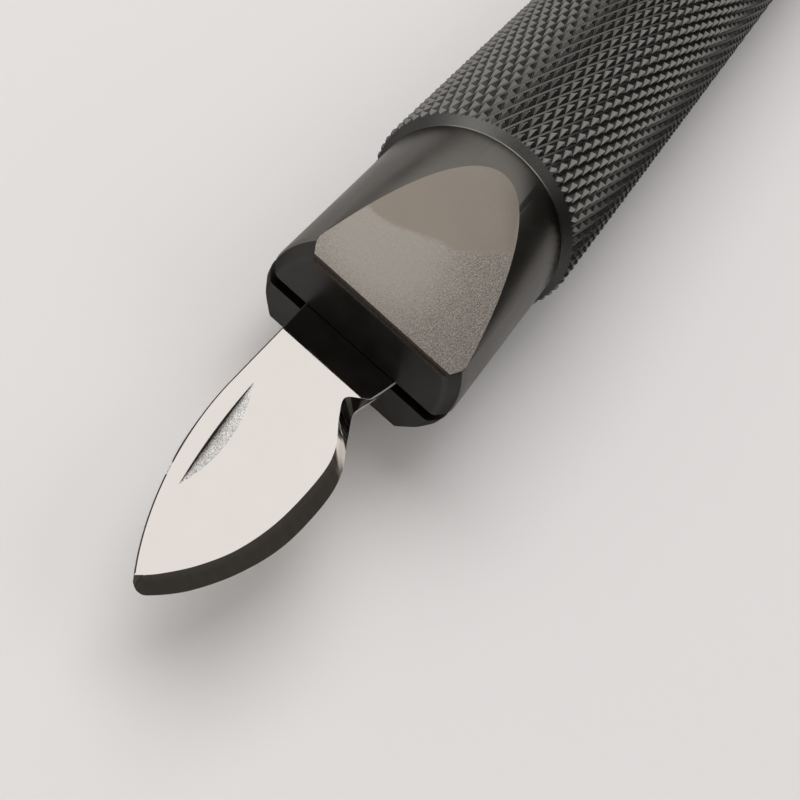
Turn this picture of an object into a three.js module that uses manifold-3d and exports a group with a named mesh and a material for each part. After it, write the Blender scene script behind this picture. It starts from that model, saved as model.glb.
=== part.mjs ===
// Case-opener knife: a knurled tube handle, a slotted nose that clamps a short blade,
// and a screwed cap that closes a bore for spare blades.
// Millimetres, +Z up. The handle's axis runs along X: the blade points to -X and the cap is at +X.
// Lengths along X are counted from the plane where the knurl starts, and the axis is at y = z = 0.

import * as THREE from 'three';
import { mergeVertices } from 'three/addons/utils/BufferGeometryUtils.js';
import Module from 'manifold-3d';

const wasm = await Module();
wasm.setup();

// ---------- driving dimensions ----------

const HANDLE_RADIUS = 9.0;
const BIG_SIDES = 64;
const SMALL_SIDES = 24;
const FACE_GAP = 0.1;

const NOSE_RADIUS = 8.13;
const NOSE_FRONT = -18.54;
const NOSE_FACE_RADIUS = 7.3;
const NOSE_CHAMFER_LENGTH = 1.25;
const SLEEVE_MOUTH = -0.9;
const SPIGOT_RADIUS = 6.2;
const SPIGOT_END = 13.9;

const FLAT_SLOPE = THREE.MathUtils.degToRad(14.1);
const UPPER_FLAT = { height: 4.47, edgeBreak: 0.4 };
const LOWER_FLAT = { height: 3.7, edgeBreak: 0.6 };

const SLOT_HEIGHT = 0.9;
const SLOT_END = -3.6;
const BLADE_THICKNESS = 0.8;
const TANG_END = -4.2;
const TANG_SPINE = 4.43;
const TANG_BELLY = -3.97;
const TANG_MIDDLE = (TANG_SPINE + TANG_BELLY) / 2;
const STOP_PIN = { x: -6.4, radius: 1.0, low: -6.2, high: 4.0 };

const CLAMP_SCREW_X = { front: -14.0, rear: -9.5 };
const CLAMP_SCREW = { radius: 1.45, length: 3.0, socket: 0.8, socketDepth: 1.3 };
const CLAMP_PAD_LENGTH = 1.0;

const SLEEVE_REAR = 78.0;
const STORAGE_RADIUS = 6.8;
const WEB = { front: 14.0, rear: 18.0 };
const BOLT = { radius: 1.9, tip: 5.0, headRadius: 3.5, headLength: 4.0, socket: 1.7, socketDepth: 2.4 };
const WASHER = { radius: 3.6, inner: 2.1, thickness: 0.8 };
const KEY_PIN = { radius: 1.0, z: 4.2, front: 11.0, rear: 16.8 };

const CAP_REAR = 90.0;
const CAP_CHAMFER = 0.9;
const CAP_SPIGOT = { front: 68.3, radius: 6.7 };
const SEAL = { x: 76.3, ringRadius: 6.1, cordRadius: 0.57, grooveHalf: 0.9, grooveRadius: 5.45 };

const CADDY = { front: 60.3, radius: 6.2, stubRadius: 3.9, stubLength: 4.5, slotDepth: 7.2 };
const SPARE_BLADE_Z = 1.6;
const SPARE_BLADE_SHIFT = 71.5;

// ---------- materials ----------

function metal(color, roughness) {
  return new THREE.MeshStandardMaterial({ color, roughness, metalness: 1.0 });
}

const gunmetal = metal(0x3c3c3e, 0.5);
const noseFinish = metal(0x4a4745, 0.45);
const polishedSteel = metal(0xd8d4ce, 0.08);
const pinSteel = metal(0xb4b4b4, 0.3);
const blackSteel = metal(0x262626, 0.45);
const brass = metal(0xc09a4e, 0.3);
const rubber = new THREE.MeshStandardMaterial({ color: 0x141414, roughness: 0.9 });
const greyPlastic = new THREE.MeshStandardMaterial({ color: 0x6a6c70, roughness: 0.6 });

// ---------- solids and cuts ----------

// Positions only, shared vertices merged, slivers of no area dropped, faces turned outward.
function cleanMesh(geometry) {
  const bare = geometry.clone();
  bare.deleteAttribute('normal');
  bare.deleteAttribute('uv');
  const merged = mergeVertices(bare, 1e-4);
  const position = merged.attributes.position;
  const corner = [0, 1, 2].map(() => new THREE.Vector3());
  const triangles = [];
  let volume = 0;
  for (let i = 0; i < merged.index.count; i += 3) {
    const ids = [0, 1, 2].map((k) => merged.index.getX(i + k));
    if (new Set(ids).size < 3) {
      continue;
    }
    ids.forEach((id, k) => corner[k].fromBufferAttribute(position, id));
    volume += corner[0].dot(corner[1].clone().cross(corner[2]));
    triangles.push(...ids);
  }
  if (volume < 0) {
    triangles.reverse();
  }
  merged.setIndex(triangles);
  return merged;
}

function toSolid(geometry) {
  const mesh = cleanMesh(geometry);
  return new wasm.Manifold(new wasm.Mesh({
    numProp: 3,
    vertProperties: new Float32Array(mesh.attributes.position.array),
    triVerts: new Uint32Array(mesh.index.array),
  }));
}

function toGeometry(solid) {
  const mesh = solid.getMesh();
  const geometry = new THREE.BufferGeometry();
  geometry.setAttribute('position', new THREE.BufferAttribute(mesh.vertProperties, 3));
  geometry.setIndex(new THREE.BufferAttribute(mesh.triVerts, 1));
  return geometry;
}

function cut(solid, ...tools) {
  return tools.reduce((rest, tool) => rest.subtract(toSolid(tool)), solid);
}

// ---------- shapes ----------

// A solid of revolution about the X axis, from [x, radius] points that start and end on the axis.
// Half a step of turn leaves a flat facet at the bottom.
function turned(profile, sides = BIG_SIDES) {
  const points = profile.map(([x, radius]) => new THREE.Vector2(radius, x));
  const geometry = new THREE.LatheGeometry(points, sides, Math.PI / sides);
  return geometry.rotateZ(-Math.PI / 2);
}

// A round bar along X, off the axis by y and z.
function barAlongX(radius, x0, x1, sides = SMALL_SIDES, y = 0, z = 0) {
  return turned([[x0, 0], [x0, radius], [x1, radius], [x1, 0]], sides).translate(0, y, z);
}

// A round bar along Z.
function barAlongZ(radius, z0, z1, x, y, sides = SMALL_SIDES) {
  const geometry = new THREE.CylinderGeometry(radius, radius, z1 - z0, sides);
  return geometry.rotateX(Math.PI / 2).translate(x, y, (z0 + z1) / 2);
}

// Everything above a plane that rises towards +X by the given slope and passes through (x, z).
function aboveSlope(x, z, slope) {
  const size = 60;
  const geometry = new THREE.BoxGeometry(size, size, size);
  return geometry.translate(0, 0, size / 2).rotateY(-slope).translate(x, 0, z);
}

function mirroredDown(geometry) {
  return geometry.scale(1, 1, -1);
}

// ---------- nose ----------

function noseBody() {
  const shoulder = SLEEVE_MOUTH - FACE_GAP;
  const leadIn = 0.4;
  return toSolid(turned([
    [NOSE_FRONT, 0],
    [NOSE_FRONT, NOSE_FACE_RADIUS],
    [NOSE_FRONT + NOSE_CHAMFER_LENGTH, NOSE_RADIUS],
    [shoulder, NOSE_RADIUS],
    [shoulder, SPIGOT_RADIUS],
    [SPIGOT_END - leadIn, SPIGOT_RADIUS],
    [SPIGOT_END, SPIGOT_RADIUS - leadIn],
    [SPIGOT_END, 0],
  ]));
}

// The tool that mills one sloping flat, and the one that breaks the flat's front edge.
function flatCutters({ height, edgeBreak }) {
  return [
    aboveSlope(NOSE_FRONT + edgeBreak, height, FLAT_SLOPE),
    aboveSlope(NOSE_FRONT, height - edgeBreak, Math.PI / 4),
  ];
}

function bladeSlot() {
  const before = 2;
  const length = SLOT_END - NOSE_FRONT + before;
  const width = 4 * NOSE_RADIUS;
  return new THREE.BoxGeometry(length, width, SLOT_HEIGHT).translate(SLOT_END - length / 2, 0, 0);
}

function clampScrewHole(x) {
  return barAlongZ(CLAMP_SCREW.radius + FACE_GAP, -2 * NOSE_RADIUS, 0, x, TANG_MIDDLE);
}

function noseHolder() {
  const pinClearance = 0.05;
  return cut(
    noseBody(),
    ...flatCutters(UPPER_FLAT),
    ...flatCutters(LOWER_FLAT).map(mirroredDown),
    bladeSlot(),
    clampScrewHole(CLAMP_SCREW_X.front),
    clampScrewHole(CLAMP_SCREW_X.rear),
    barAlongZ(STOP_PIN.radius + pinClearance, -2 * NOSE_RADIUS, STOP_PIN.high + FACE_GAP, STOP_PIN.x, TANG_MIDDLE),
    barAlongX(BOLT.radius + FACE_GAP, BOLT.tip - 1, SPIGOT_END + 1),
    barAlongX(KEY_PIN.radius + pinClearance, KEY_PIN.front - FACE_GAP, SPIGOT_END + 1, SMALL_SIDES, 0, KEY_PIN.z),
  );
}

// ---------- blade ----------

const BLADE_TIP = new THREE.Vector2(-42.1, 0.68);
const SPINE_BEND_X = -27.6;

// The spine runs straight from the tang and then falls to the tip in one curve.
function spineCurve() {
  return new THREE.CubicBezierCurve(
    new THREE.Vector2(SPINE_BEND_X, TANG_SPINE),
    new THREE.Vector2(-32.6, TANG_SPINE),
    new THREE.Vector2(-38.2, 3.12),
    BLADE_TIP,
  );
}

// Where the ground bevel meets the upper face: heel, notch, belly, tip.
const BEVEL_TOP = [
  [-19.0, -3.78], [-20.9, -3.31], [-21.54, -2.69], [-22.5, -1.84], [-23.96, -2.37], [-26.2, -3.56],
  [-28.6, -3.93], [-32.9, -3.72], [-36.3, -2.96], [-38.9, -1.78], [-41.0, -0.36],
];

// The cutting edge on the lower face, point by point below the same stretch of bevel.
const CUTTING_EDGE = [
  [-19.0, -3.79], [-20.9, -3.33], [-21.8, -3.1], [-22.7, -3.07], [-24.3, -3.8], [-26.6, -4.88],
  [-29.3, -5.29], [-33.6, -5.0], [-37.1, -3.96], [-40.1, -2.4], [-42.1, -0.75],
];

const EDGE_STEPS = 66;
const SPINE_STEPS = 12;

function edgeCurve(points) {
  const all = [[TANG_END, TANG_BELLY], [NOSE_FRONT, TANG_BELLY]];
  const curve = new THREE.SplineCurve(points.map(([x, y]) => new THREE.Vector2(x, y)).concat(BLADE_TIP));
  return all.map(([x, y]) => new THREE.Vector2(x, y)).concat(curve.getPoints(EDGE_STEPS));
}

// One closed outline: belly side out to the tip, back along the spine, and round the forked tang.
function bladeOutline(bellyPoints, bellyScale) {
  const belly = edgeCurve(bellyPoints).map((p) => new THREE.Vector2(p.x, Math.min(p.y, p.y * bellyScale)));
  const spine = spineCurve().getPoints(SPINE_STEPS).reverse().slice(1);
  const forkHalf = STOP_PIN.radius + FACE_GAP;
  const fork = [];
  const forkSteps = 10;
  for (let i = 0; i <= forkSteps; i += 1) {
    const angle = Math.PI / 2 + (Math.PI * i) / forkSteps;
    fork.push(new THREE.Vector2(
      STOP_PIN.x + forkHalf * Math.cos(angle),
      TANG_MIDDLE + forkHalf * Math.sin(angle),
    ));
  }
  return [
    ...belly,
    ...spine,
    new THREE.Vector2(TANG_END, TANG_SPINE),
    new THREE.Vector2(TANG_END, TANG_MIDDLE + forkHalf),
    ...fork,
    new THREE.Vector2(TANG_END, TANG_MIDDLE - forkHalf),
  ];
}

// A solid between a lower and an upper outline that have the same number of points.
function loft(lower, upper, z0, z1) {
  const count = lower.length;
  const position = [];
  lower.forEach((p) => position.push(p.x, p.y, z0));
  upper.forEach((p) => position.push(p.x, p.y, z1));
  const index = [];
  THREE.ShapeUtils.triangulateShape(lower, []).forEach(([a, b, c]) => index.push(a, c, b));
  THREE.ShapeUtils.triangulateShape(upper, []).forEach(([a, b, c]) => index.push(a + count, b + count, c + count));
  const turn = THREE.ShapeUtils.isClockWise(lower) ? -1 : 1;
  for (let i = 0; i < count; i += 1) {
    const next = (i + 1) % count;
    const quad = turn > 0
      ? [i, next, next + count, i, next + count, i + count]
      : [next, i, next + count, next + count, i, i + count];
    index.push(...quad);
  }
  const geometry = new THREE.BufferGeometry();
  geometry.setAttribute('position', new THREE.Float32BufferAttribute(position, 3));
  geometry.setIndex(index);
  return geometry;
}

// The nail nick: a cut by a coned disc whose flat side stands upright along the nick's straight edge.
function nailNickCutter() {
  const start = new THREE.Vector2(-26.5, 3.48);
  const end = new THREE.Vector2(-35.8, 2.52);
  const depth = 0.42;
  const width = 1.1;
  const halfChord = start.distanceTo(end) / 2;
  const discRadius = (halfChord ** 2 + depth ** 2) / (2 * depth);
  const middle = start.clone().add(end).multiplyScalar(0.5);
  const chordAngle = Math.atan2(start.y - end.y, start.x - end.x);
  const discSides = 240;
  return new THREE.CylinderGeometry(discRadius, discRadius - depth, width, discSides)
    .translate(0, -width / 2, 0)
    .rotateZ(chordAngle)
    .translate(middle.x, middle.y, BLADE_THICKNESS / 2 - depth + discRadius);
}

function bladeSolid(bellyScale = 1) {
  const half = BLADE_THICKNESS / 2;
  const lower = bladeOutline(CUTTING_EDGE, bellyScale);
  const upper = bladeOutline(BEVEL_TOP, bellyScale);
  return cut(toSolid(loft(lower, upper, -half, half)), nailNickCutter());
}

// ---------- tang clamp ----------

function stopPin() {
  return toSolid(barAlongZ(STOP_PIN.radius, STOP_PIN.low, STOP_PIN.high, STOP_PIN.x, TANG_MIDDLE));
}

const PAD_TOP = -BLADE_THICKNESS / 2 - 0.05;
const SCREW_TOP = PAD_TOP - CLAMP_PAD_LENGTH - 0.05;

function clampPad(x) {
  return toSolid(barAlongZ(CLAMP_SCREW.radius, PAD_TOP - CLAMP_PAD_LENGTH, PAD_TOP, x, TANG_MIDDLE));
}

function clampScrew(x) {
  const bottom = SCREW_TOP - CLAMP_SCREW.length;
  return cut(
    toSolid(barAlongZ(CLAMP_SCREW.radius, bottom, SCREW_TOP, x, TANG_MIDDLE)),
    barAlongZ(CLAMP_SCREW.socket, bottom - 1, bottom + CLAMP_SCREW.socketDepth, x, TANG_MIDDLE, 6),
  );
}

// ---------- handle ----------

function knurledSleeve() {
  const chamfer = HANDLE_RADIUS - NOSE_RADIUS;
  const rearChamfer = 0.5;
  const pinClearance = 0.05;
  const outside = toSolid(turned([
    [SLEEVE_MOUTH, 0],
    [SLEEVE_MOUTH, NOSE_RADIUS],
    [SLEEVE_MOUTH + chamfer, HANDLE_RADIUS],
    [SLEEVE_REAR - rearChamfer, HANDLE_RADIUS],
    [SLEEVE_REAR, HANDLE_RADIUS - rearChamfer],
    [SLEEVE_REAR, 0],
  ]));
  return cut(
    outside,
    barAlongX(SPIGOT_RADIUS + FACE_GAP, SLEEVE_MOUTH - 1, WEB.front, BIG_SIDES),
    barAlongX(STORAGE_RADIUS, WEB.rear, SLEEVE_REAR + 1, BIG_SIDES),
    barAlongX(BOLT.radius + FACE_GAP, WEB.front - 1, WEB.rear + 1),
    barAlongX(KEY_PIN.radius + pinClearance, WEB.front - 1, KEY_PIN.rear + FACE_GAP, SMALL_SIDES, 0, KEY_PIN.z),
  );
}

function noseKeyPin() {
  return toSolid(barAlongX(KEY_PIN.radius, KEY_PIN.front, KEY_PIN.rear, SMALL_SIDES, 0, KEY_PIN.z));
}

function noseLockWasher() {
  const front = WEB.rear + FACE_GAP / 2;
  return cut(
    toSolid(barAlongX(WASHER.radius, front, front + WASHER.thickness)),
    barAlongX(WASHER.inner, front - 1, front + WASHER.thickness + 1),
  );
}

function noseBolt() {
  const headFront = WEB.rear + WASHER.thickness + FACE_GAP;
  const headRear = headFront + BOLT.headLength;
  const body = toSolid(turned([
    [BOLT.tip, 0],
    [BOLT.tip, BOLT.radius],
    [headFront, BOLT.radius],
    [headFront, BOLT.headRadius],
    [headRear, BOLT.headRadius],
    [headRear, 0],
  ], SMALL_SIDES));
  return cut(body, barAlongX(BOLT.socket, headRear - BOLT.socketDepth, headRear + 1, 6));
}

// ---------- rear cap ----------

function rearCap() {
  const headFront = SLEEVE_REAR + 0.3;
  const frontChamfer = 0.5;
  const body = toSolid(turned([
    [CAP_SPIGOT.front, 0],
    [CAP_SPIGOT.front, CAP_SPIGOT.radius],
    [SEAL.x - SEAL.grooveHalf, CAP_SPIGOT.radius],
    [SEAL.x - SEAL.grooveHalf, SEAL.grooveRadius],
    [SEAL.x + SEAL.grooveHalf, SEAL.grooveRadius],
    [SEAL.x + SEAL.grooveHalf, CAP_SPIGOT.radius],
    [headFront, CAP_SPIGOT.radius],
    [headFront, HANDLE_RADIUS - frontChamfer],
    [headFront + frontChamfer, HANDLE_RADIUS],
    [CAP_REAR - CAP_CHAMFER, HANDLE_RADIUS],
    [CAP_REAR, HANDLE_RADIUS - CAP_CHAMFER],
    [CAP_REAR, 0],
  ]));
  const stubEnd = CAP_SPIGOT.front + CADDY.stubLength;
  return cut(body, barAlongX(CADDY.stubRadius + FACE_GAP, CAP_SPIGOT.front - 1, stubEnd + FACE_GAP, 48));
}

function capSeal() {
  const turns = 16;
  const ring = [];
  for (let i = 0; i <= turns; i += 1) {
    const angle = (2 * Math.PI * i) / turns;
    ring.push([SEAL.x + SEAL.cordRadius * Math.sin(angle), SEAL.ringRadius + SEAL.cordRadius * Math.cos(angle)]);
  }
  return toSolid(turned(ring, 48));
}

function bladeCaddy() {
  const rear = CAP_SPIGOT.front - FACE_GAP;
  const body = toSolid(turned([
    [CADDY.front, 0],
    [CADDY.front, CADDY.radius],
    [rear, CADDY.radius],
    [rear, CADDY.stubRadius],
    [CAP_SPIGOT.front + CADDY.stubLength, CADDY.stubRadius],
    [CAP_SPIGOT.front + CADDY.stubLength, 0],
  ], 48));
  const before = 2;
  const length = CADDY.slotDepth + before;
  const width = TANG_SPINE - TANG_BELLY + 2 * FACE_GAP;
  const slots = [-SPARE_BLADE_Z, SPARE_BLADE_Z].map((z) => new THREE.BoxGeometry(length, width, SLOT_HEIGHT)
    .translate(CADDY.front - before + length / 2, TANG_MIDDLE, z));
  return cut(body, ...slots);
}

// A spare blade is the same piece moved back into the caddy's slot.
function spareBlade(z, bellyScale) {
  return bladeSolid(bellyScale).translate(SPARE_BLADE_SHIFT, 0, z);
}

// ---------- assembly ----------

const knife = new THREE.Group();

function addPiece(name, solid, material) {
  const piece = new THREE.Mesh(toGeometry(solid), material);
  piece.name = name;
  knife.add(piece);
}

addPiece('knurled_sleeve', knurledSleeve(), gunmetal);
addPiece('nose_holder', noseHolder(), noseFinish);
addPiece('blade', bladeSolid(), polishedSteel);
addPiece('tang_stop_pin', stopPin(), pinSteel);
for (const [place, x] of Object.entries(CLAMP_SCREW_X)) {
  addPiece(`clamp_screw_${place}`, clampScrew(x), blackSteel);
  addPiece(`clamp_pad_${place}`, clampPad(x), brass);
}
addPiece('nose_bolt', noseBolt(), blackSteel);
addPiece('nose_lock_washer', noseLockWasher(), pinSteel);
addPiece('nose_key_pin', noseKeyPin(), pinSteel);
addPiece('rear_cap', rearCap(), gunmetal);
addPiece('cap_o_ring', capSeal(), rubber);
addPiece('blade_caddy', bladeCaddy(), greyPlastic);
addPiece('spare_blade_1', spareBlade(SPARE_BLADE_Z, 1), polishedSteel);
addPiece('spare_blade_2', spareBlade(-SPARE_BLADE_Z, 0.75), polishedSteel);

// The origin is under the middle of the knife, on the plane that the handle lies on.
const box = new THREE.Box3().setFromObject(knife);
knife.position.set(-(box.min.x + box.max.x) / 2, -(box.min.y + box.max.y) / 2, -box.min.z);

export default knife;
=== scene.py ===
"""Case-opener knife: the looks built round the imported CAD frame.

Lengths are millimetres in the knife's own coordinates unless a name says otherwise: x is counted
from the plane where the handle's knurl starts, the blade points to -x, and the handle's axis is y = z = 0.
place() turns them into the frame's metres.
"""

import math

import bmesh
import bpy
from mathutils import Matrix, Vector


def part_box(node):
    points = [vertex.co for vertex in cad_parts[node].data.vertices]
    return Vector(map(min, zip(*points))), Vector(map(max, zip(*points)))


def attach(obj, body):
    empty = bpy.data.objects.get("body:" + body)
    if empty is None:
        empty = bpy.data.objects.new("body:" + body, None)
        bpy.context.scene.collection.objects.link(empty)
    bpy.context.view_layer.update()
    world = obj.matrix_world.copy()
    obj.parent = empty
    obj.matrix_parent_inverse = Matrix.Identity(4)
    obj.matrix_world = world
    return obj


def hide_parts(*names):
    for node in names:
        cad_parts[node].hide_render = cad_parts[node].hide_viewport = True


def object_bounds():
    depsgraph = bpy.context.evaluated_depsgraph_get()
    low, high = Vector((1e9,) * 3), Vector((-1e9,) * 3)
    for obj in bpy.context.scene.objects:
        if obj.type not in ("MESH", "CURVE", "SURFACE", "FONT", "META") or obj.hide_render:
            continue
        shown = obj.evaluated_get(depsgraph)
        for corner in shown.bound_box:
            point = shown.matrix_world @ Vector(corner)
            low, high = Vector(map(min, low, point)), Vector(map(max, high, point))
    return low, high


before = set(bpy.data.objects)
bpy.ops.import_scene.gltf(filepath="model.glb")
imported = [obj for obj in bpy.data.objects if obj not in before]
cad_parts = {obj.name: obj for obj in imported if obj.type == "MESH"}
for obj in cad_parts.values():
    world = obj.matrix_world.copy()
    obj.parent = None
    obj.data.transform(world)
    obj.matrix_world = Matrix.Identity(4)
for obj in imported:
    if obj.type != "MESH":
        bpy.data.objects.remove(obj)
CAD_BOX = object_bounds()

MM = 0.001

# ---------- driving dimensions, as in the CAD part ----------

HANDLE_RADIUS = 9.0
NOSE_RADIUS = 8.13
NOSE_FRONT = -18.54
NOSE_FACE_RADIUS = 7.3
NOSE_CHAMFER_LENGTH = 1.25
SLEEVE_MOUTH = -0.9
SPIGOT_RADIUS = 6.2
SPIGOT_END = 13.9
FLAT_SLOPE = math.radians(14.1)
UPPER_FLAT = {"height": 4.47, "break": 0.4}
LOWER_FLAT = {"height": 3.7, "break": 0.6}
SLOT_HEIGHT = 0.9
SLOT_END = -3.6
BLADE_THICKNESS = 0.8
TANG_END = -4.2
TANG_SPINE = 4.43
TANG_BELLY = -3.97
TANG_MIDDLE = (TANG_SPINE + TANG_BELLY) / 2
STOP_PIN = {"x": -6.4, "radius": 1.0, "low": -6.2, "high": 4.0}
CLAMP_SCREW_X = {"front": -14.0, "rear": -9.5}
CLAMP_SCREW_RADIUS = 1.45
CLAMP_SCREW_LENGTH = 3.0
CLAMP_PAD_TOP = -0.45
CLAMP_PAD_LENGTH = 1.0
SLEEVE_REAR = 78.0
STORAGE_RADIUS = 6.8
WEB_FRONT = 14.0
WEB_REAR = 18.0
BOLT_RADIUS = 1.9
BOLT_TIP = 5.0
BOLT_HEAD_RADIUS = 3.5
BOLT_HEAD_LENGTH = 4.0
WASHER_THICKNESS = 0.8
KEY_PIN = {"radius": 1.0, "z": 4.2, "front": 11.0, "rear": 16.8}
CAP_REAR = 90.0
CAP_FRONT = 68.3
CAP_SPIGOT_RADIUS = 6.7
SEAL_X = 76.3
SEAL_RING_RADIUS = 6.1
SEAL_CORD_RADIUS = 0.57
SEAL_GROOVE_HALF = 0.9
SEAL_GROOVE_RADIUS = 5.45
CADDY_FRONT = 60.3
CADDY_RADIUS = 6.2
CADDY_STUB_RADIUS = 3.9
CADDY_STUB_END = 72.8
CADDY_SLOT_DEPTH = 7.2
SPARE_BLADE_Z = 1.6
SPARE_BLADE_SHIFT = 71.5

# The knurl: pointed teeth on two crossed sets of grooves.
KNURL_TEETH = 64
KNURL_HALF_PITCH = 1.36
KNURL_DEPTH = 0.28
KNURL_NARROW_FLOOR = 0.03
KNURL_WIDE_FLOOR = 0.2
KNURL_CROWN = 0.08
KNURL_FIRST_TOOTH = {"x": 1.69, "angle": math.radians(1.95)}

# Chamfers, as their length along the piece and their depth.
PIN_END = (0.15, 0.15)
SCREW_END = (0.2, 0.15)
PAD_LOW_END = (0.12, 0.15)
PAD_HIGH_END = (0.3, 0.35)

ROUND_SIDES = 256
SMALL_SIDES = 96
NICK_SIDES = 900
HEX = 6
BELLY_STEPS = 330
SPINE_STEPS = 80
# A radius below this counts as on the axis, and points nearer than this are one.
ON_AXIS = 1e-6
SAME_POINT = 1e-5

# A screw thread's section, in pitches, and the part of a turn over which it runs out.
THREAD_FOOT_HALF = 0.46
THREAD_CREST_HALF = 0.1
THREAD_RUN_OUT = 1 / 3

# The turned outline stands this far over the knurl's teeth, so that only its ends cut them.
OVER_KNURL = 0.3
FIT_CLEARANCE = 0.1
# How low and how high the cutting tools reach, well past the nose.
HOLE_TOOL_LOW = -12
FLAT_TOOL_HIGH = 20

# The blade's outline from above: its upper face, and the lower rim of its bevelled belly.
BLADE_TIP = (-42.1, 0.68)
SPINE_CURVE = ((-27.6, TANG_SPINE), (-32.6, TANG_SPINE), (-38.2, 3.12), BLADE_TIP)
BEVEL_TOP = (
    (-19.0, -3.78), (-20.9, -3.31), (-21.54, -2.69), (-22.5, -1.84), (-23.96, -2.37), (-26.2, -3.56),
    (-28.6, -3.93), (-32.9, -3.72), (-36.3, -2.96), (-38.9, -1.78), (-41.0, -0.36),
)
CUTTING_EDGE = (
    (-19.0, -3.79), (-20.9, -3.33), (-21.8, -3.1), (-22.7, -3.05), (-24.3, -3.76), (-26.6, -4.88),
    (-29.3, -5.29), (-33.6, -5.0), (-37.1, -3.96), (-40.1, -2.4), (-42.0, -0.82), (-42.36, -0.1),
)
LOW_TIP = (-42.1, 0.47)
NICK_START = Vector((-26.5, 3.48))
NICK_END = Vector((-35.8, 2.52))
NICK_DEPTH = 0.42
NICK_WIDTH = 1.1
NICK_WALL = 0.19
NOTCH_LAND = 0.14
HEEL_CHAMFER = 0.1
SPINE_CHAMFER = 0.08
LEAST_LAND = 0.03
LEAST_SHOULDER = 0.02
# Where along the blade each detail fades in, from the first x to the second.
NOTCH_FROM_TIP = (-25.2, -24.2)
NOTCH_FROM_TANG = (-19.5, -21.0)
HEEL_FADE = (-21.6, -20.6)
SPINE_LEAN_FADE = (-33.0, -38.5)
SPINE_LEAN = 0.28
# Where the blade's finishes change.
NICK_BELLY_SIDE = 1.2
NOTCH_WALL = {"x": -22.3, "y": -2.2, "half_height": 0.2}
NOTCH_RIMS = {"x": -25.0, "y": -2.6}
TIP_FACE = -41.6
SPINE_SIDE = 0.3
# The second spare is a narrower blade: its belly is held to a limit, then scaled outside the nose.
SPARE_BELLY = TANG_BELLY * 1.4
NARROW_BELLY = 0.75

# ---------- looks ----------

# A thin dark coat on metal loses its shine towards a glancing view before it gains it again.
DARK_COAT = {"Specular_Tint": (0.4, 0.4, 0.4, 1.0)}
SATIN_COAT = {"Specular_Tint": (0.6, 0.6, 0.6, 1.0)}
# The chamfer round the mouth is blasted; its upper side keeps the light grain as a painted highlight, and
# elsewhere it is painted shade.
RIM_PAINTED_LIGHT = {"centre": (-0.5, 1.5, 8.3), "near": 2.5, "far": 7.6}
RIM_PAINTED_SHADE = (0.075, 0.073, 0.07)
# The part of the upper flat nearest the handle is smoother and browner, up to a long shallow arc.
SMOOTH_ZONE = {"centre": (0.2, 6.75, 9.2), "radius": 13.7}
# Its grain is finest here and coarser towards the edges.
FINE_GRAIN = {"centre": (-14.0, 3.0, 5.6), "near": 2.0, "reach": 8.0}
# Where the grinding wheel left streaks across the wall of the heel notch.
NOTCH_STREAKS = {"centre": (-24.0, -3.05, 0.0), "near": 0.78, "reach": 1.3}

# ---------- camera and studio ----------

CAMERA_AIM = (-19.07, -4.85, 0.0)
CAMERA_DISTANCE = 84.94
CAMERA_AZIMUTH = math.radians(-5.08)
CAMERA_ELEVATION = math.radians(50.16)
CAMERA_ROLL = math.radians(45.6)
CAMERA_LENS = 55.2
# The lamps aim at the blade's root.
LAMP_AIM = (-22, 0, 0)
LIGHTS = {
    "key": {"from": (0.16, 0.42, 0.9), "distance": 0.7, "size": 0.6, "power": 3.4},
    "fill": {"from": (0.3, -0.65, 0.7), "distance": 1.0, "size": 0.88, "power": 2.0},
}
FLOOR_HALF = 0.6
FLOOR_GAP = 0.0001
FLOOR_COLOR = (0.765, 0.745, 0.74)
FLOOR_CLOUD = 0.985
# The dome is bright towards SKY_DIRECTION, and dark below the horizon.
SKY_DIRECTION = Vector((0.0, 0.62, 0.78)).normalized()
SKY_DARK = (0.045, 0.042, 0.038)
SKY_LIGHT = (0.93, 0.915, 0.90)
SKY_FADE = (0.13, 0.58)
UPWARD = (0.0, 0.0, 1.0)
HORIZON_FADE = (-0.05, 0.35)
# The dome's share of its strength on matt surfaces.
CARD_SHARE = 0.52
BACKDROP = (0.76, 0.745, 0.735)
# The flag stands so many millimetres behind the lens; its half sizes are in metres.
FLAG = {"back": 12, "half_width": 0.037, "half_height": 0.06}

# ---------- the frame's zero and the camera ----------

# The knife's own zero in the frame: the sleeve's box gives the mouth and the axis.
SLEEVE_LOW, SLEEVE_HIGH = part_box("knurled_sleeve")
ZERO = Vector((
    SLEEVE_LOW[0] - SLEEVE_MOUTH * MM,
    (SLEEVE_LOW[1] + SLEEVE_HIGH[1]) / 2,
    (SLEEVE_LOW[2] + SLEEVE_HIGH[2]) / 2,
))


def place(point):
    """Millimetres in the knife's coordinates to metres in the frame."""
    return ZERO + Vector(point) * MM


def in_scene(name, data):
    """A new object in the scene for a mesh, camera or lamp."""
    made = bpy.data.objects.new(name, data)
    bpy.context.scene.collection.objects.link(made)
    return made


def look_direction():
    flat = math.cos(CAMERA_ELEVATION)
    return Vector((
        flat * math.cos(CAMERA_AZIMUTH),
        flat * math.sin(CAMERA_AZIMUTH),
        -math.sin(CAMERA_ELEVATION),
    ))


def camera_matrix(back=0.0):
    """Where the camera is, and which way it looks, moved back by some millimetres."""
    forward = look_direction()
    position = place(CAMERA_AIM) - forward * (CAMERA_DISTANCE + back) * MM
    upright = forward.to_track_quat("-Z", "Y").to_matrix().to_4x4()
    return Matrix.Translation(position) @ upright @ Matrix.Rotation(CAMERA_ROLL, 4, "Z")


def add_camera():
    data = bpy.data.cameras.new("camera")
    data.lens = CAMERA_LENS
    data.clip_start = 0.002
    camera = in_scene("camera", data)
    camera.matrix_world = camera_matrix()
    bpy.context.scene.camera = camera


# ---------- meshes ----------


def faced_outward(mesh):
    bmesh.ops.recalc_face_normals(mesh, faces=mesh.faces)
    return mesh


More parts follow.
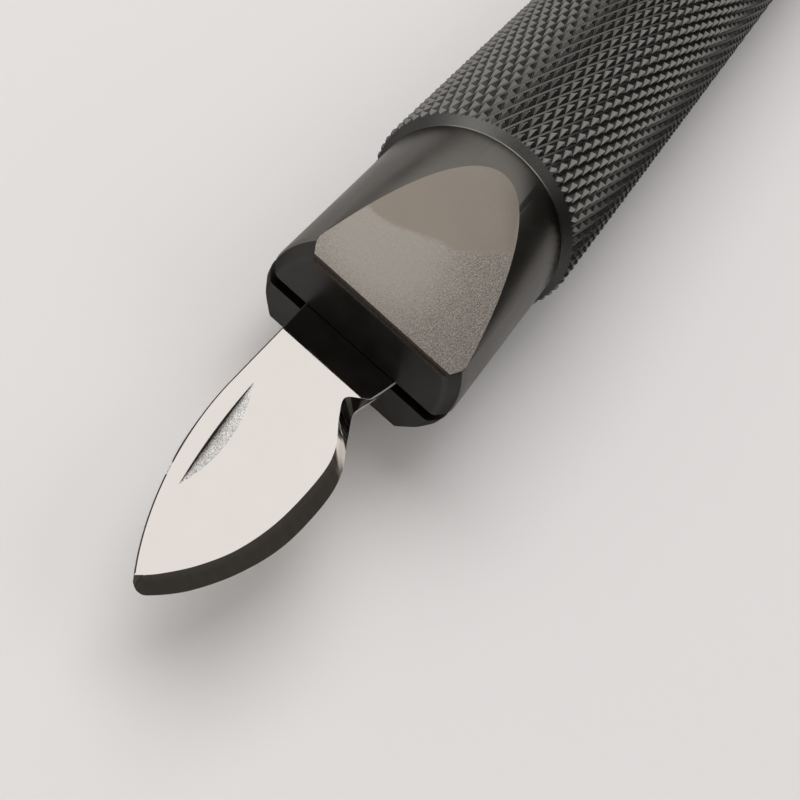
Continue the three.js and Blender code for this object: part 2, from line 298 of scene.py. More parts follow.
def revolve(profile, sides, axis="X"):
    """A closed solid turned about X or Z from (along, radius) points.

    The points start and end on the axis, or go round a ring's section.
    """
    mesh = bmesh.new()
    rings = []
    for along, radius in profile:
        if radius < ON_AXIS:
            rings.append([mesh.verts.new(axis_point(along, 0, 0, axis))])
            continue
        ring = []
        for k in range(sides):
            angle = 2 * math.pi * (k + 0.5) / sides
            ring.append(mesh.verts.new(axis_point(along, radius, angle, axis)))
        rings.append(ring)
    if profile[0][1] > ON_AXIS:
        rings.append(rings[0])
    for first, second in zip(rings, rings[1:]):
        for k in range(sides):
            n = (k + 1) % sides
            corners = [
                first[k % len(first)], first[n % len(first)],
                second[n % len(second)], second[k % len(second)],
            ]
            unique = list(dict.fromkeys(corners))
            if len(unique) > 2:
                mesh.faces.new(unique)
    return faced_outward(mesh)


def softened(profile, rounds, steps=6):
    """The profile with corners rounded off: rounds gives each one's index and its millimetres."""
    points = []
    for k, corner in enumerate(profile):
        here = Vector(corner)
        if k not in rounds:
            points.append(tuple(here))
            continue
        start = here + (Vector(profile[k - 1]) - here).normalized() * rounds[k]
        end = here + (Vector(profile[k + 1]) - here).normalized() * rounds[k]
        for i in range(steps + 1):
            t = i / steps
            points.append(tuple(start * (1 - t) ** 2 + here * 2 * t * (1 - t) + end * t ** 2))
    return points


def axis_point(along, radius, angle, axis):
    across = (radius * math.cos(angle), radius * math.sin(angle))
    if axis == "X":
        return (along, across[0], across[1])
    return (across[0], across[1], along)


def prism(outline, low, high, plane):
    """An outline in the XY or XZ plane, pushed along the third axis from low to high."""
    mesh = bmesh.new()
    rings = []
    for depth in (low, high):
        if plane == "XY":
            rings.append([mesh.verts.new((a, b, depth)) for a, b in outline])
        else:
            rings.append([mesh.verts.new((a, depth, b)) for a, b in outline])
    mesh.faces.new(rings[0])
    mesh.faces.new(list(reversed(rings[1])))
    for k in range(len(outline)):
        n = (k + 1) % len(outline)
        mesh.faces.new([rings[0][k], rings[1][k], rings[1][n], rings[0][n]])
    return faced_outward(mesh)


def block(x0, x1, y0, y1, z0, z1):
    return prism([(x0, y0), (x1, y0), (x1, y1), (x0, y1)], z0, z1, "XY")


def rod(radius, low, high, sides=SMALL_SIDES, axis="Z"):
    return revolve([(low, 0), (low, radius), (high, radius), (high, 0)], sides, axis)


def chamfered_rod(radius, low, high, low_end, high_end, axis="Z"):
    """A round rod; each end's chamfer is its length along the rod and its depth."""
    return revolve([
        (low, 0), (low, radius - low_end[1]), (low + low_end[0], radius),
        (high - high_end[0], radius), (high, radius - high_end[1]), (high, 0),
    ], SMALL_SIDES, axis)


def moved(mesh, offset):
    bmesh.ops.translate(mesh, verts=mesh.verts, vec=offset)
    return mesh


def helix_ridge(root, crest, pitch, start, end, axis="X", per_turn=72):
    """A screw thread: one ridge of three-sided section wound round the axis, closed at its ends."""
    mesh = bmesh.new()
    steps = int((end - start - pitch) / pitch * per_turn)
    half = THREAD_FOOT_HALF * pitch
    crest_half = THREAD_CREST_HALF * pitch
    run_out = per_turn * THREAD_RUN_OUT
    sections = []
    for k in range(steps + 1):
        angle = 2 * math.pi * k / per_turn
        along = start + half + pitch * k / per_turn
        fade = min(1.0, k / run_out, (steps - k) / run_out)
        top = root + (crest - root) * fade
        section = [
            (along - half, root), (along - crest_half, top),
            (along + crest_half, top), (along + half, root),
        ]
        sections.append([mesh.verts.new(axis_point(a, r, angle, axis)) for a, r in section])
    for first, second in zip(sections, sections[1:]):
        for k in range(4):
            n = (k + 1) % 4
            mesh.faces.new([first[k], first[n], second[n], second[k]])
    mesh.faces.new(sections[0])
    mesh.faces.new(list(reversed(sections[-1])))
    return faced_outward(mesh)


def knurl_bar(start, end):
    """A solid bar whose skin is the knurl: a pointed tooth on each cell between two sets of grooves."""
    foot_size = (1 - KNURL_NARROW_FLOOR, 1 - KNURL_WIDE_FLOOR)
    top_size = (KNURL_CROWN, KNURL_CROWN)
    floor_radius = HANDLE_RADIUS - KNURL_DEPTH
    turn = math.pi / KNURL_TEETH
    first = KNURL_FIRST_TOOTH
    first_row = math.floor((start - first["x"]) / KNURL_HALF_PITCH)
    last_row = math.ceil((end - first["x"]) / KNURL_HALF_PITCH)
    mesh = bmesh.new()

    def ring_of(row, column, size, radius):
        along, across = size
        points = []
        for u, v in ((along, across), (along, -across), (-along, -across), (-along, across)):
            x = first["x"] + (row + (u + v) / 2) * KNURL_HALF_PITCH
            angle = first["angle"] + (column + (u - v) / 2) * turn
            points.append(mesh.verts.new((x, radius * math.cos(angle), radius * math.sin(angle))))
        return points

    base = {}
    for row in range(first_row, last_row + 1):
        for column in range(2 * KNURL_TEETH):
            if (row + column) % 2:
                continue
            foot = ring_of(row, column, foot_size, floor_radius)
            top = ring_of(row, column, top_size, HANDLE_RADIUS)
            base[row, column] = foot
            mesh.faces.new(top)
            for k in range(4):
                n = (k + 1) % 4
                mesh.faces.new([foot[k], foot[n], top[n], top[k]])
    rear, left, front, right = range(4)
    wide = 2 * KNURL_TEETH
    for (row, column), foot in base.items():
        up = base.get((row + 1, (column + 1) % wide))
        down = base.get((row + 1, (column - 1) % wide))
        ahead = base.get((row + 2, column))
        if up:
            mesh.faces.new([foot[rear], foot[left], up[front], up[right]])
        if down:
            mesh.faces.new([foot[right], foot[rear], down[left], down[front]])
        if up and down and ahead:
            mesh.faces.new([foot[rear], up[right], ahead[front], down[left]])
    close_ends(mesh)
    return faced_outward(mesh)


def close_ends(mesh):
    """Closes each open end of a bar along X with a fan round a point on the axis."""
    open_edges = [edge for edge in mesh.edges if len(edge.link_faces) == 1]
    middle = sum(v.co.x for v in mesh.verts) / len(mesh.verts)
    for side in (-1, 1):
        edges = [edge for edge in open_edges if (edge.verts[0].co.x - middle) * side > 0]
        reach = max(side * edge.verts[0].co.x for edge in edges)
        hub = mesh.verts.new((side * reach, 0, 0))
        for edge in edges:
            mesh.faces.new([edge.verts[0], edge.verts[1], hub])


def as_object(name, mesh):
    """Hands a bmesh over to a new object in the scene."""
    data = bpy.data.meshes.new(name)
    mesh.to_mesh(data)
    mesh.free()
    return in_scene(name, data)


def worked(mesh, steps):
    """The mesh after a row of modifiers, each given as its kind and its settings."""
    work = as_object("work", mesh)
    for kind, settings in steps:
        step = work.modifiers.new("step", kind)
        for key, value in settings.items():
            setattr(step, key, value)
    depsgraph = bpy.context.evaluated_depsgraph_get()
    made = bpy.data.meshes.new_from_object(work.evaluated_get(depsgraph))
    result = bmesh.new()
    result.from_mesh(made)
    bpy.data.meshes.remove(work.data)
    bpy.data.meshes.remove(made)
    return result


def combine(mesh, operation, *tools):
    """Joins a mesh with others by Blender's exact boolean, one after another."""
    helpers = [as_object("tool", tool) for tool in tools]
    common = {"operation": operation, "solver": "EXACT"}
    result = worked(mesh, [("BOOLEAN", {**common, "object": helper}) for helper in helpers])
    for helper in helpers:
        bpy.data.meshes.remove(helper.data)
    return result


def rounded(mesh, width, segments=2, angle=24):
    """The mesh with a small round on every edge sharper than the angle in degrees."""
    return worked(mesh, [("BEVEL", {
        "width": width,
        "segments": segments,
        "limit_method": "ANGLE",
        "angle_limit": math.radians(angle),
        "miter_outer": "MITER_ARC",
        "use_clamp_overlap": True,
    })])


def add_piece(name, mesh, body, node, materials, choose=None, smooth=28):
    """Puts a finished mesh in the scene: its finish, its body, and the CAD node it stands for."""
    bmesh.ops.remove_doubles(mesh, verts=mesh.verts, dist=SAME_POINT)
    piece = as_object(name, mesh)
    data = piece.data
    for material in materials:
        data.materials.append(material)
    if choose:
        for polygon in data.polygons:
            polygon.material_index = choose(polygon.center, polygon.normal)
    data.shade_smooth()
    data.set_sharp_from_angle(angle=math.radians(smooth))
    data.transform(Matrix.Translation(ZERO) @ Matrix.Scale(MM, 4))
    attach(piece, body)
    if node:
        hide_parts(node)
    return piece


def add_skin(node, mesh, body, materials, choose=None, smooth=28):
    """The visible piece that stands for a CAD node, named after it."""
    return add_piece(node + "_skin", mesh, body, node, materials, choose, smooth)


# ---------- material nodes ----------


class Nodes:
    """Short ways to wire nodes into the tree of a material or of the world."""

    def __init__(self, owner):
        owner.use_nodes = True
        self.tree = owner.node_tree
        self.tree.nodes.clear()

    def add(self, kind, **values):
        node = self.tree.nodes.new("ShaderNode" + kind)
        for key, value in values.items():
            setattr(node, key, value)
        return node

    def link(self, start, end):
        self.tree.links.new(start, end)

    def vector(self, operation, first, second, output=0):
        """Arithmetic between a node's output and a constant vector."""
        node = self.add("VectorMath", operation=operation)
        self.link(first, node.inputs[0])
        node.inputs[1].default_value = second
        return node.outputs[output]

    def fade(self, value, low, high, to_low=0.0, to_high=1.0, smooth=True):
        node = self.add("MapRange", interpolation_type="SMOOTHSTEP" if smooth else "LINEAR")
        spans = {"From Min": low, "From Max": high, "To Min": to_low, "To Max": to_high}
        for key, number in spans.items():
            node.inputs[key].default_value = number
        self.link(value, node.inputs["Value"])
        return node.outputs["Result"]

    def math(self, operation, first, second):
        node = self.add("Math", operation=operation)
        for socket, value in zip(node.inputs, (first, second)):
            if isinstance(value, (int, float)):
                socket.default_value = value
            else:
                self.link(value, socket)
        return node.outputs[0]

    def blend(self, factor, first, second):
        """A colour between two; each is a colour tuple or another node's output."""
        node = self.add("Mix", data_type="RGBA")
        self.link(factor, node.inputs[0])
        for socket, value in zip((node.inputs[6], node.inputs[7]), (first, second)):
            if isinstance(value, tuple):
                socket.default_value = (*value, 1.0)
            else:
                self.link(value, socket)
        return node.outputs[2]


class Finish(Nodes):
    """A Principled material, with the places and patterns its detail is made of."""

    def __init__(self, name, color, metallic, roughness, **sockets):
        self.material = bpy.data.materials.new(name)
        super().__init__(self.material)
        output = self.add("OutputMaterial")
        self.shader = self.add("BsdfPrincipled")
        self.link(self.shader.outputs["BSDF"], output.inputs["Surface"])
        self.set("Base Color", (*color, 1.0))
        self.set("Metallic", metallic)
        self.set("Roughness", roughness)
        for socket, value in sockets.items():
            self.set(socket.replace("_", " "), value)
        millimetres = self.add("VectorMath", operation="SCALE")
        millimetres.inputs["Scale"].default_value = 1 / MM
        self.link(self.add("TexCoord").outputs["Object"], millimetres.inputs[0])
        self.coords = millimetres.outputs[0]

    def set(self, socket, value):
        self.shader.inputs[socket].default_value = value

    def noise(self, per_mm, detail=2.0, stretch=None, roughness=0.5):
        node = self.add("TexNoise")
        node.inputs["Scale"].default_value = per_mm
        node.inputs["Detail"].default_value = detail
        node.inputs["Roughness"].default_value = roughness
        coords = self.vector("MULTIPLY", self.coords, stretch) if stretch else self.coords
        self.link(coords, node.inputs["Vector"])
        return node.outputs["Fac"]

    def radius(self):
        """Distance from the handle's axis, in millimetres."""
        from_zero = self.vector("SUBTRACT", self.coords, tuple(ZERO / MM))
        size = self.add("VectorMath", operation="LENGTH")
        self.link(self.vector("MULTIPLY", from_zero, (0, 1, 1)), size.inputs[0])
        return size.outputs["Value"]

    def distance_to(self, point):
        """Distance from a point of the knife, in millimetres."""
        return self.vector("DISTANCE", self.coords, tuple(place(point) / MM), "Value")

    def rim_painted_shade(self):
        """How far a point of the mouth is into its painted shade: 0 on the lit upper side, 1 elsewhere."""
        away = self.distance_to(RIM_PAINTED_LIGHT["centre"])
        return self.fade(away, RIM_PAINTED_LIGHT["near"], RIM_PAINTED_LIGHT["far"])

    def color(self, output):
        self.link(output, self.shader.inputs["Base Color"])

    def roughness(self, output):
        self.link(output, self.shader.inputs["Roughness"])

    def bump(self, height, distance):
        """Raises the surface by up to a distance in millimetres."""
        node = self.add("Bump")
        node.inputs["Distance"].default_value = distance * MM
        node.inputs["Strength"].default_value = 1.0
        self.link(height, node.inputs["Height"])
        self.link(node.outputs["Normal"], self.shader.inputs["Normal"])


def knurl_finish():
    finish = Finish("knurl_coated", (0.16, 0.157, 0.15), 1.0, 0.25, **DARK_COAT)
    height = finish.radius()
    patchy = finish.noise(0.35, 3.0)
    flank = finish.blend(patchy, (0.18, 0.177, 0.169), (0.26, 0.256, 0.245))
    # Painted shade darkens the groove floors; the teeth also turn lighter towards their tips.
    floor, wall, tip = (HANDLE_RADIUS - share * KNURL_DEPTH for share in (0.95, 0.7, 0.12))
    painted_groove_shade = finish.fade(height, floor, wall)
    crest = finish.fade(height, tip, HANDLE_RADIUS, 0.0, 0.6)
    flank = finish.blend(painted_groove_shade, (0.16, 0.157, 0.15), flank)
    finish.color(finish.blend(crest, flank, (0.34, 0.335, 0.32)))
    finish.roughness(finish.fade(finish.noise(6.0, 3.0), 0.3, 0.7, 0.2, 0.3))
    finish.bump(finish.noise(14.0, 2.0), 0.002)
    return finish.material


def blasted_rim_finish():
    finish = Finish("blasted_rim_painted_shade", (0.15, 0.147, 0.14), 1.0, 0.42, **DARK_COAT)
    grain = finish.noise(9.0, 3.0, roughness=0.7)
    blasted = finish.blend(grain, (0.12, 0.118, 0.112), (0.32, 0.314, 0.3))
    # Painted shade away from the upper side, where the lighter grain stands as a painted highlight.
    finish.color(finish.blend(finish.rim_painted_shade(), blasted, RIM_PAINTED_SHADE))
    finish.roughness(finish.fade(grain, 0.3, 0.7, 0.36, 0.48))
    finish.bump(grain, 0.012)
    return finish.material


def mouth_edge_finish():
    finish = Finish("mouth_edge", (0.35, 0.345, 0.33), 1.0, 0.3, **DARK_COAT)
    worn = finish.blend(finish.noise(0.8, 3.0), (0.15, 0.147, 0.14), (0.5, 0.49, 0.47))
    # Painted shade: the worn edge turns dark away from the mouth's upper side.
    finish.color(finish.blend(finish.rim_painted_shade(), worn, (0.09, 0.088, 0.084)))
    return finish.material


def flat_finish():
    finish = Finish("blasted_flat", (0.38, 0.345, 0.31), 1.0, 0.5)
    grain = finish.noise(10.0, 3.0, roughness=0.75)
    away = finish.distance_to(FINE_GRAIN["centre"])
    strength = finish.fade(away, FINE_GRAIN["near"], FINE_GRAIN["reach"], 0.2)
    centred = finish.math("SUBTRACT", finish.fade(grain, 0.3, 0.7), 0.5)
    contrast = finish.math("MULTIPLY", centred, strength)
    grainy = finish.blend(finish.math("ADD", contrast, 0.5), (0.25, 0.225, 0.2), (0.63, 0.58, 0.525))
    cloud = finish.noise(0.22, 2.0)
    browner = finish.blend(cloud, (0.30, 0.26, 0.225), (0.335, 0.295, 0.255))
    wander = finish.fade(finish.noise(0.28, 1.0), 0.3, 0.7, -0.5, 0.5, smooth=False)
    fuzz = finish.fade(grain, 0.3, 0.7, -0.15, 0.15, smooth=False)
    ragged = finish.math("ADD", wander, fuzz)
    edge = finish.math("ADD", finish.distance_to(SMOOTH_ZONE["centre"]), ragged)
    reach = SMOOTH_ZONE["radius"]
    smooth_zone = finish.fade(edge, reach - 0.25, reach + 0.25, 1.0, 0.0)
    finish.color(finish.blend(smooth_zone, grainy, browner))
    finish.roughness(finish.fade(smooth_zone, 0.0, 1.0, 0.5, 0.42))
    height = finish.math("MULTIPLY", contrast, finish.fade(smooth_zone, 0.0, 1.0, 1.0, 0.3))
    finish.bump(height, 0.02)
    return finish.material


def bevel_finish():
    finish = Finish("ground_bevel", (0.8, 0.74, 0.67), 1.0, 0.12)
    lines = finish.noise(3.0, 2.0, stretch=(1.0, 0.25, 0.25))
    plain = finish.blend(lines, (0.7, 0.64, 0.575), (0.84, 0.775, 0.71))
    axes = finish.add("SeparateXYZ")
    finish.link(finish.coords, axes.inputs[0])
    middle = ZERO.z / MM
    # Painted reflection: the bevel is lighter towards its top face, in patches.
    painted_reflection_near_top = finish.fade(axes.outputs["Z"], middle, middle + BLADE_THICKNESS / 2)
    painted_reflection_near_top = finish.math("MULTIPLY", painted_reflection_near_top, finish.fade(finish.noise(0.12, 1.0), 0.4, 0.6, 0.3))
    plain = finish.blend(painted_reflection_near_top, plain, (1.0, 0.93, 0.86))
    streaks = finish.fade(finish.noise(2.2, 2.0, stretch=(3.0, 0.5, 0.5)), 0.4, 0.6)
    streaked = finish.blend(streaks, (0.06, 0.055, 0.05), (0.9, 0.87, 0.83))
    away = finish.distance_to(NOTCH_STREAKS["centre"])
    near_notch = finish.fade(away, NOTCH_STREAKS["near"], NOTCH_STREAKS["reach"], 1.0, 0.0)
    finish.color(finish.blend(near_notch, plain, streaked))
    finish.roughness(finish.fade(lines, 0.3, 0.7, 0.1, 0.16))
    finish.bump(lines, 0.0006)
    return finish.material


def frosted_finish():
    finish = Finish("frosted_nick", (0.6, 0.58, 0.56), 1.0, 0.4)
    grain = finish.fade(finish.noise(10.0, 3.0, roughness=0.8), 0.4, 0.56)
    finish.color(finish.blend(grain, (0.42, 0.412, 0.4), (1.0, 0.98, 0.96)))
    finish.roughness(finish.fade(grain, 0.0, 1.0, 0.3, 0.45))
    finish.bump(grain, 0.004)
    return finish.material


def grained_finish(name, base, metallic, roughness, grain, dark, light,
                   spread=None, height=None, relief=None, **sockets):
    """A finish whose colour and roughness follow one noise pattern, and its height that or another."""
    finish = Finish(name, base, metallic, roughness, **sockets)
    pattern = finish.noise(**grain)
    finish.color(finish.blend(pattern, dark, light))
    if spread:
        finish.roughness(finish.fade(pattern, *spread))
    if height:
        finish.bump(finish.noise(**relief) if relief else pattern, height)
    return finish.material


def plain_metal_finish(name, dark, light, roughness):
    grain = {"per_mm": 4.0, "stretch": (3.0, 0.4, 0.4)}
    spread = (0.3, 0.7, roughness * 0.85, roughness * 1.2)
    return grained_finish(name, light, 1.0, roughness, grain, dark, light, spread, 0.002)


def soft_finish(name, dark, light, roughness, height):
    grain = {"per_mm": 5.0, "detail": 3.0}
    spread = (0.3, 0.7, roughness * 0.9, min(1.0, roughness * 1.1))
    return grained_finish(name, light, 0.0, roughness, grain, dark, light, spread, height)


KNURL = knurl_finish()
RIM = blasted_rim_finish()
# Painted highlight: the notch's rims get a light, half-metal grey that stands in for their shine.
PAINTED_HIGHLIGHT_EDGE = grained_finish(
    "painted_highlight_edge", (0.6, 0.59, 0.57), 0.3, 0.5, {"per_mm": 1.2, "detail": 3.0},
    (0.45, 0.44, 0.43), (0.65, 0.64, 0.62),
)
MOUTH_EDGE = mouth_edge_finish()
# Painted shade: the nose's front rounds are a dark brown in place of their shading.
PAINTED_SHADE_ROUNDS = grained_finish(
    "painted_shade_rounds", (0.08, 0.065, 0.055), 1.0, 0.5, {"per_mm": 6.0, "detail": 3.0},
    (0.04, 0.032, 0.026), (0.13, 0.108, 0.09), height=0.008, **DARK_COAT,
)
FRONT = grained_finish(
    "nose_front", (0.1, 0.098, 0.093), 1.0, 0.38, {"per_mm": 0.5, "detail": 3.0},
    (0.05, 0.049, 0.047), (0.075, 0.073, 0.07),
    (0.3, 0.7, 0.34, 0.42), 0.0008, {"per_mm": 5.0}, **DARK_COAT,
)
NOSE = grained_finish(
    "nose_satin", (0.15, 0.143, 0.133), 1.0, 0.3, {"per_mm": 0.25, "detail": 3.0},
    (0.145, 0.138, 0.126), (0.18, 0.172, 0.16),
    (0.3, 0.7, 0.26, 0.34), 0.0003, {"per_mm": 3.0, "stretch": (4.0, 0.15, 0.15)}, **SATIN_COAT,
)
FLAT = flat_finish()
BLADE = grained_finish(
    "polished_blade", (0.86, 0.845, 0.825), 1.0, 0.03, {"per_mm": 0.45, "detail": 4.0, "roughness": 0.6},
    (0.80, 0.76, 0.725), (0.84, 0.80, 0.765),
    (0.35, 0.65, 0.02, 0.05), 0.0004, {"per_mm": 0.6},
)
BEVEL = bevel_finish()
# Painted shade: the blade's side walls, tip face and nick wall are a near-black metal standing in for their
# shade.
PAINTED_SHADE_EDGE = grained_finish(
    "painted_shade_edge", (0.08, 0.075, 0.07), 1.0, 0.3, {"per_mm": 5.0, "stretch": (0.3, 1.0, 1.0)},
    (0.05, 0.046, 0.042), (0.11, 0.103, 0.097), height=0.001, **DARK_COAT,
)
FROSTED = frosted_finish()
PIN_STEEL = plain_metal_finish("ground_pin", (0.42, 0.42, 0.42), (0.62, 0.62, 0.62), 0.3)
BLACK_STEEL = plain_metal_finish("black_oxide", (0.035, 0.035, 0.036), (0.07, 0.07, 0.072), 0.38)
BRASS = plain_metal_finish("brass_pad", (0.55, 0.38, 0.15), (0.72, 0.53, 0.24), 0.28)
RUBBER = soft_finish("seal_rubber", (0.012, 0.012, 0.012), (0.03, 0.03, 0.03), 0.6, 0.003)
PLASTIC = soft_finish("caddy_plastic", (0.12, 0.125, 0.14), (0.17, 0.175, 0.19), 0.5, 0.006)


# ---------- handle sleeve and cap ----------


def sleeve_envelope():
    """The turned shape of the sleeve before knurling, with its mouth, web and bores."""
    over = HANDLE_RADIUS + OVER_KNURL
    mouth = 0.09
    chamfer = over - NOSE_RADIUS
    socket = SPIGOT_RADIUS + FIT_CLEARANCE
    bolt_hole = BOLT_RADIUS + FIT_CLEARANCE
    rear_chamfer = 0.5 + over - HANDLE_RADIUS
    bore_chamfer = 0.35
    return revolve([
        (SLEEVE_MOUTH, socket + 0.15),
        (SLEEVE_MOUTH, NOSE_RADIUS - mouth),
        (SLEEVE_MOUTH + 0.3 * mouth, NOSE_RADIUS - 0.3 * mouth),
        (SLEEVE_MOUTH + mouth, NOSE_RADIUS),
        (SLEEVE_MOUTH + chamfer, over),
        (SLEEVE_REAR - rear_chamfer, over),
        (SLEEVE_REAR, over - rear_chamfer),
        (SLEEVE_REAR, STORAGE_RADIUS + bore_chamfer),
        (SLEEVE_REAR - bore_chamfer, STORAGE_RADIUS),
        (WEB_REAR, STORAGE_RADIUS),
        (WEB_REAR, bolt_hole),
        (WEB_FRONT, bolt_hole),
        (WEB_FRONT, socket),
        (SLEEVE_MOUTH + 0.15, socket),
    ], ROUND_SIDES)


def choose_sleeve_finish(center, normal):
    """The bar is knurled, its chamfers and bores are blasted, and the mouth's edge is worn; chamfers, bores
    and edge are painted with shade away from the mouth's upper side.
    """
    knurled, blasted, edge = range(3)
    radius = math.hypot(center.y, center.z)
    if radius < STORAGE_RADIUS + 0.4:
        return blasted
    if normal.x < -0.55 and center.x < 0.6 and radius > NOSE_RADIUS + 0.01:
        return edge if radius < NOSE_RADIUS + 0.02 else blasted
    if center.x < SLEEVE_MOUTH + 0.1:
        return edge
    if normal.x > 0.6 and center.x > SLEEVE_REAR - 1:
        return blasted
    return knurled


def add_sleeve():
    margin = 2 * KNURL_HALF_PITCH
    bar = knurl_bar(SLEEVE_MOUTH - margin, SLEEVE_REAR + margin)
    mesh = combine(bar, "INTERSECT", sleeve_envelope())
    add_skin("knurled_sleeve", mesh, "handle",
             [KNURL, RIM, MOUTH_EDGE], choose_sleeve_finish, smooth=12)


def cap_envelope():
    over = HANDLE_RADIUS + OVER_KNURL
    head = SLEEVE_REAR + 0.25
    rear_chamfer = 0.9 + over - HANDLE_RADIUS
    front_chamfer = 0.5 + over - HANDLE_RADIUS
    stub = CADDY_STUB_RADIUS + FIT_CLEARANCE
    stub_end = CADDY_STUB_END + FIT_CLEARANCE
    thread_root = CAP_SPIGOT_RADIUS - 0.5
    groove_front = SEAL_X - SEAL_GROOVE_HALF
    groove_rear = SEAL_X + SEAL_GROOVE_HALF
    thread_end = groove_front - 0.5
    return revolve([
        (CAP_FRONT, stub),
        (CAP_FRONT, thread_root - 0.3),
        (CAP_FRONT + 0.3, thread_root),
        (thread_end, thread_root),
        (thread_end, CAP_SPIGOT_RADIUS - 0.1),
        (groove_front - 0.4, CAP_SPIGOT_RADIUS),
        (groove_front, CAP_SPIGOT_RADIUS),
        (groove_front, SEAL_GROOVE_RADIUS),
        (groove_rear, SEAL_GROOVE_RADIUS),
        (groove_rear, CAP_SPIGOT_RADIUS),
        (head, CAP_SPIGOT_RADIUS),
        (head, over - front_chamfer),
        (head + front_chamfer, over),
        (CAP_REAR - rear_chamfer, over),
        (CAP_REAR, over - rear_chamfer),
        (CAP_REAR, 5.6),
        (CAP_REAR - 0.5, 5.1),
        (CAP_REAR - 0.5, 0),
        (stub_end, 0),
        (stub_end, stub),
    ], ROUND_SIDES)


def choose_cap_finish(center, normal):
    knurled, satin = range(2)
    floor = HANDLE_RADIUS - KNURL_DEPTH - 0.02
    on_knurl = math.hypot(center.y, center.z) > floor and abs(normal.x) < 0.6
    return knurled if on_knurl else satin


def add_cap():
    margin = 2 * KNURL_HALF_PITCH
    bar = knurl_bar(CAP_FRONT - margin, CAP_REAR + margin)
    mesh = combine(bar, "INTERSECT", cap_envelope())
    add_skin("rear_cap", mesh, "cap", [KNURL, NOSE], choose_cap_finish, smooth=12)
    thread_end = SEAL_X - SEAL_GROOVE_HALF - 0.5
    root = CAP_SPIGOT_RADIUS - 0.52
    thread = helix_ridge(root, CAP_SPIGOT_RADIUS, 1.0, CAP_FRONT + 0.2, thread_end, per_turn=120)
    add_piece("rear_cap_thread", thread, "cap", None, [NOSE])


def add_cap_seal():
    sides = 32
    ring = []
    for k in range(sides):
        angle = 2 * math.pi * k / sides
        along = SEAL_X + SEAL_CORD_RADIUS * math.sin(angle)
        ring.append((along, SEAL_RING_RADIUS + SEAL_CORD_RADIUS * math.cos(angle)))
    mesh = revolve(ring, ROUND_SIDES)
    add_skin("cap_o_ring", mesh, "cap_seal", [RUBBER], smooth=60)


# ---------- nose ----------


def front_round(height, size):
    """The tool that rounds a flat's front edge: the corner outside an arc from the face to the flat."""
    normal = (-math.sin(FLAT_SLOPE), math.cos(FLAT_SLOPE))
    edge_x = NOSE_FRONT + size
    centre_z = height - size / normal[1] - size * 0.05
    start = math.pi
    end = math.atan2(normal[1], normal[0])
    steps = 8
    arc = []
    for k in range(steps + 1):
        angle = start + (end - start) * k / steps
        arc.append((edge_x + size * math.cos(angle), centre_z + size * math.sin(angle)))
    last = arc[-1]
    outside = [
        (last[0] + 2 * normal[0] + 1.5, last[1] + 2 * normal[1] + 0.4),
        (NOSE_FRONT - 2, last[1] + 2.5),
        (NOSE_FRONT - 2, centre_z),
    ]
    return prism(arc + outside, -2 * NOSE_RADIUS, 2 * NOSE_RADIUS, "XZ")


def flat_block(height):
    """Everything above the plane of a flat."""
    rise = math.tan(FLAT_SLOPE)
    start = NOSE_FRONT - 3
    end = 3.0
    low = height + (start - NOSE_FRONT) * rise
    high = height + (end - NOSE_FRONT) * rise
    outline = [(start, low), (end, high), (end, FLAT_TOOL_HIGH), (start, FLAT_TOOL_HIGH)]
    return prism(outline, -2 * NOSE_RADIUS, 2 * NOSE_RADIUS, "XZ")


def upside_down(mesh):
    bmesh.ops.scale(mesh, verts=mesh.verts, vec=(1, 1, -1))
    return faced_outward(mesh)


def jaw_corner(side):
    """The tool that takes off the lower jaw's front corner on one side (-1 or 1)."""
    facing = Vector((-0.35, side * 0.75, -0.56)).normalized()
    size = 4.0
    mesh = block(-size, size, -size, size, 0, size)
    turn = facing.to_track_quat("Z", "Y").to_matrix().to_4x4()
    bmesh.ops.transform(mesh, matrix=turn, verts=mesh.verts)
    return moved(mesh, (NOSE_FRONT, side * 6.2, -2.9))


def nose_cutters():
    wide = 2 * NOSE_RADIUS
    slope = math.tan(FLAT_SLOPE)
    cutters = [
        flat_block(UPPER_FLAT["height"] - UPPER_FLAT["break"] * slope),
        upside_down(flat_block(LOWER_FLAT["height"] - LOWER_FLAT["break"] * slope)),
        front_round(UPPER_FLAT["height"], UPPER_FLAT["break"]),
        upside_down(front_round(LOWER_FLAT["height"], LOWER_FLAT["break"])),
        block(NOSE_FRONT - 2, SLOT_END, -wide, wide, -SLOT_HEIGHT / 2, SLOT_HEIGHT / 2),
        jaw_corner(-1),
        jaw_corner(1),
    ]
    for x in CLAMP_SCREW_X.values():
        hole = rod(CLAMP_SCREW_RADIUS + FIT_CLEARANCE, HOLE_TOOL_LOW, 0)
        cutters.append(moved(hole, (x, TANG_MIDDLE, 0)))
    hole = rod(STOP_PIN["radius"] + 0.05, HOLE_TOOL_LOW, STOP_PIN["high"])
    cutters.append(moved(hole, (STOP_PIN["x"], TANG_MIDDLE, 0)))
    return cutters


def choose_nose_finish(center, normal):
    """Turned surfaces are satin, the flats blasted, the front plain dark, and its rounds a dark brown
    painted shade.
    """
    satin, blasted, front, painted_shade_round = range(4)
    from_front = center.x - NOSE_FRONT
    on_flat = abs(abs(normal.z) - math.cos(FLAT_SLOPE)) < 0.002
    if on_flat and normal.x < 0 and abs(normal.y) < 0.01:
        return blasted
    square_on = abs(normal.z) > 0.15 and abs(normal.y) < 0.02
    if from_front < 0.62 and normal.x < -0.3 and square_on:
        return painted_shade_round
    on_face = from_front < 0.35 and abs(normal.x) > 0.75
    on_chamfer = from_front < NOSE_CHAMFER_LENGTH and normal.x < -0.4
    in_slot = abs(center.z) < SLOT_HEIGHT / 2 + 0.06 and center.x < SLOT_END
    return front if on_face or on_chamfer or in_slot else satin


